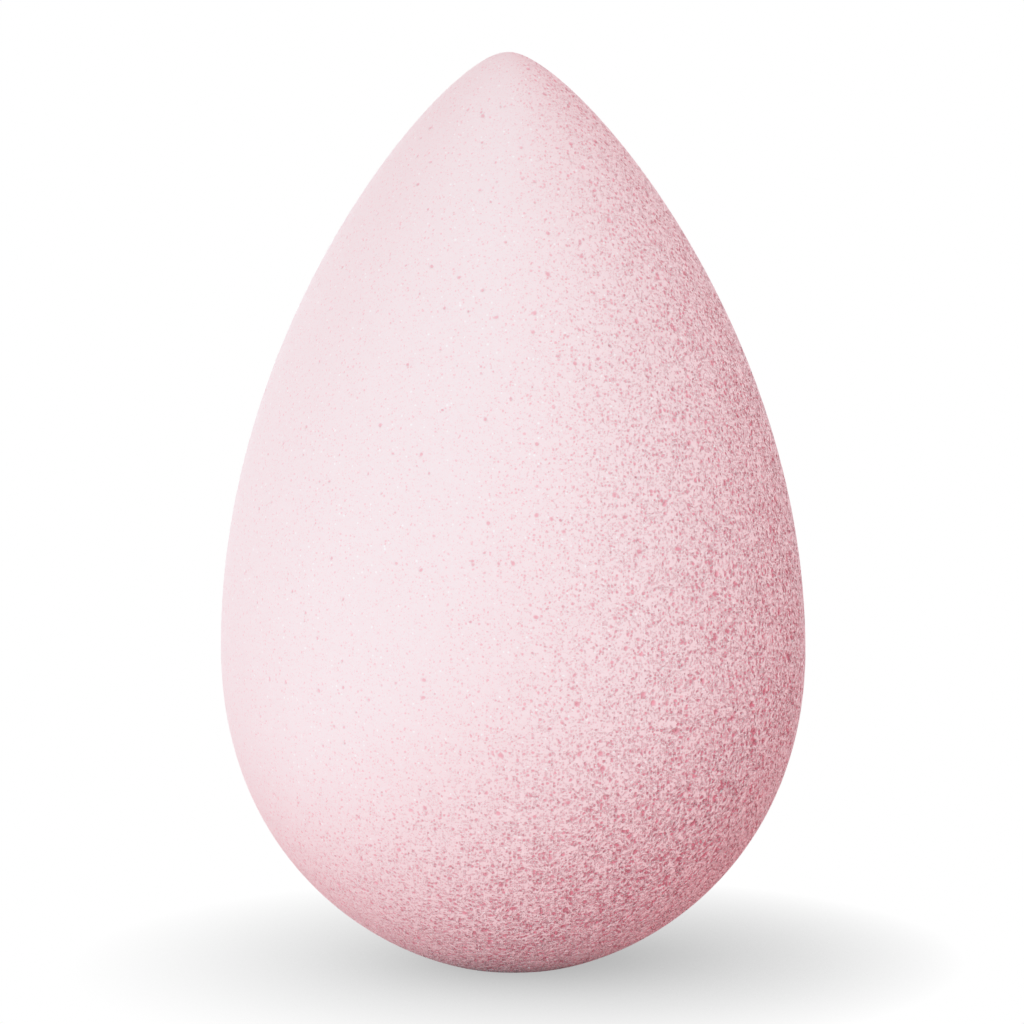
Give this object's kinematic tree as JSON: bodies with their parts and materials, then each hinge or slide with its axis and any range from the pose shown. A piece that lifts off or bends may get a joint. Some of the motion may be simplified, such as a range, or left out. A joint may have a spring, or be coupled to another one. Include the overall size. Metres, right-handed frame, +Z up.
{
  "type": "makeup sponge",
  "caption": "Teardrop egg of soft pale pink foam with a blunt tip and a broad rounded end, held in the fingers to dab and blend liquid makeup.",
  "frame": {"origin": "centre of the small flat foot that the sponge stands on, at the bottom of its broad end", "axes": "+Z up along the sponge's axis towards its tip; the body is round, so X and Y are alike"},
  "size_m": [0.04, 0.04, 0.0628],
  "materials": {
    "pink_foam": "matte"
  },
  "bodies": {
    "root": {"sponge_body": "pink_foam"}
  },
  "joints": []
}
